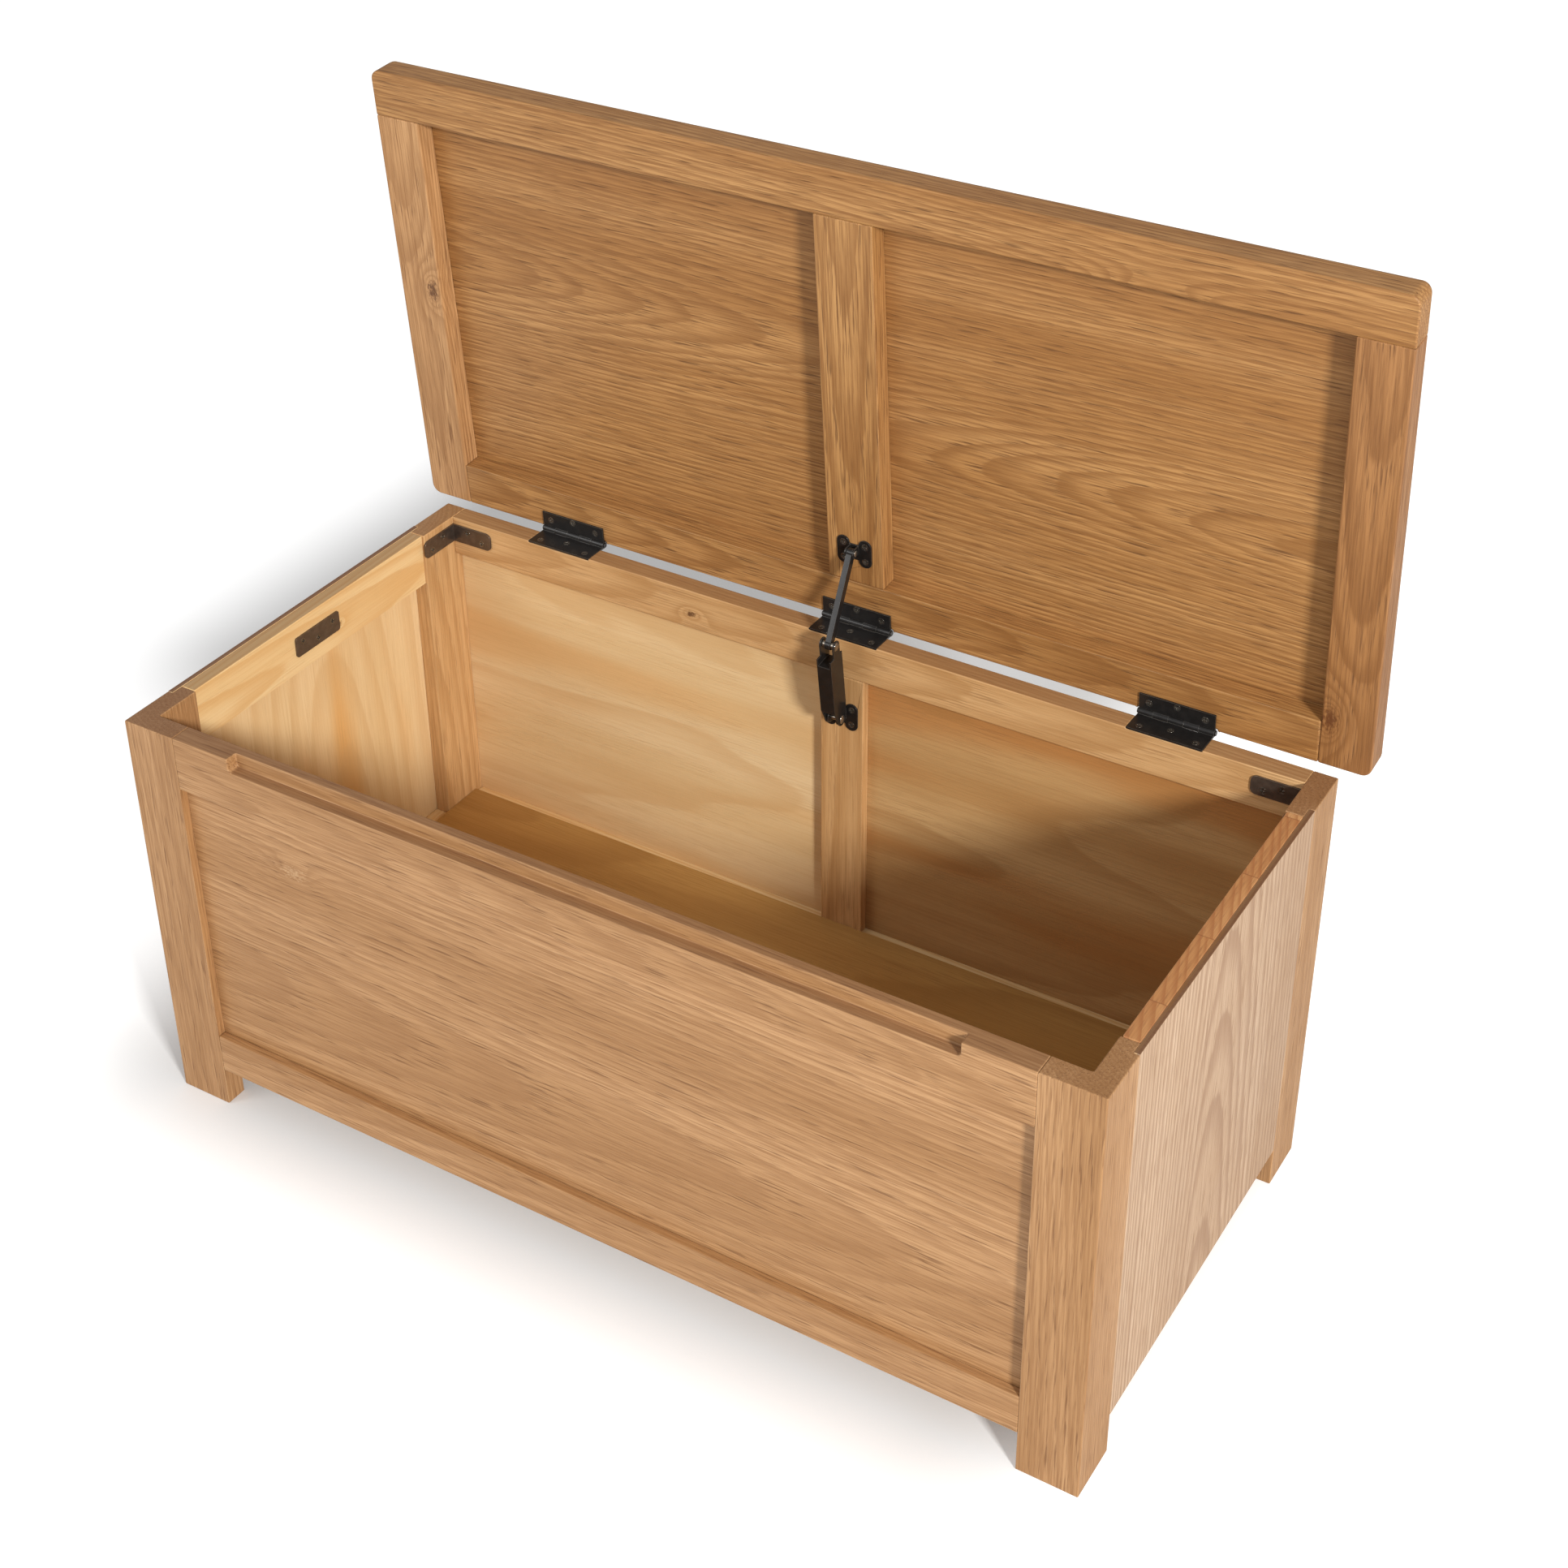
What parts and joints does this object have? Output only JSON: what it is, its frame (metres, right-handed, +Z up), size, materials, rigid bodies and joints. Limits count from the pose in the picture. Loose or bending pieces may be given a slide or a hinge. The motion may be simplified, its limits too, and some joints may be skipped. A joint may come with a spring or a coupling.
{
  "type": "wooden toy box",
  "caption": "Framed oak toy box on short feet, with a hinged panelled lid held open by a folding stay and a finger recess in the front rail.",
  "frame": {"origin": "on the floor, in the middle of the open box's outline seen from above", "axes": "+X to the right of a person facing the front, +Y to the back, +Z up; the front of the box faces -Y"},
  "size_m": [1.052, 0.5274, 0.93],
  "materials": {
    "oak": "clear satin lacquer",
    "pale_oak": "clear satin lacquer",
    "pine": "clear satin lacquer",
    "ply": "clear satin lacquer",
    "black_steel": "black oxide, satin",
    "grey_steel": "dull bronze plated",
    "bright_steel": "plain steel"
  },
  "bodies": {
    "box": {"front_left_post": "oak", "front_right_post": "oak", "back_left_post": "oak", "back_right_post": "oak", "front_top_rail": "oak", "front_bottom_rail": "oak", "front_panel": "oak", "back_top_rail": "oak", "back_bottom_rail": "oak", "back_middle_stile": "oak", "back_left_panel": "ply", "back_right_panel": "ply", "left_top_rail": "pine", "right_top_rail": "pine", "left_bottom_rail": "pine", "right_bottom_rail": "pine", "left_side_panel": "pale_oak", "right_side_panel": "pale_oak", "floor_panel": "ply", "front_floor_batten": "pine", "back_floor_batten": "pine", "left_hinge_box_leaf": "black_steel", "middle_hinge_box_leaf": "black_steel", "right_hinge_box_leaf": "black_steel", "left_hinge_pin": "black_steel", "middle_hinge_pin": "black_steel", "right_hinge_pin": "black_steel", "hinge_box_screws": "black_steel", "back_left_brace": "grey_steel", "back_right_brace": "grey_steel", "brace_screws": "grey_steel", "left_plate": "grey_steel", "right_plate": "grey_steel", "plate_screws": "grey_steel", "stay_box_bracket": "black_steel", "stay_box_screws": "black_steel", "stay_box_rivet": "bright_steel"},
    "lid": {"lid_front_rail": "oak", "lid_back_rail": "oak", "lid_left_stile": "oak", "lid_right_stile": "oak", "lid_middle_stile": "oak", "lid_left_panel": "oak", "lid_right_panel": "oak", "left_hinge_lid_leaf": "black_steel", "middle_hinge_lid_leaf": "black_steel", "right_hinge_lid_leaf": "black_steel", "hinge_lid_screws": "black_steel", "stay_lid_bracket": "black_steel", "stay_lid_screws": "black_steel", "stay_lid_rivet": "bright_steel"},
    "stay_housing": {"stay_housing": "black_steel", "stay_spring": "bright_steel", "stay_elbow_rivet": "bright_steel"},
    "stay_arm": {"stay_arm": "black_steel"}
  },
  "joints": [
    {"name": "lid_hinge", "type": "hinge", "parent": "box", "child": "lid", "pos_m": [0, 0.22875, 0.4445], "axis": [1, 0, 0], "range_deg": [0, 85.4]},
    {"name": "stay_foot_pivot", "type": "hinge", "parent": "box", "child": "stay_housing", "pos_m": [0, 0.18625, 0.358], "axis": [1, 0, 0], "range_deg": [0, 83.2]},
    {"name": "stay_elbow_pivot", "type": "hinge", "parent": "stay_housing", "child": "stay_arm", "pos_m": [0, 0.17425, 0.449], "axis": [1, 0, 0], "range_deg": [-86.7, 0]}
  ],
  "couplings": [
    {"joint": "stay_foot_pivot", "follows": "lid_hinge", "ratio": 0.969},
    {"joint": "stay_elbow_pivot", "follows": "lid_hinge", "ratio": -1.01}
  ]
}
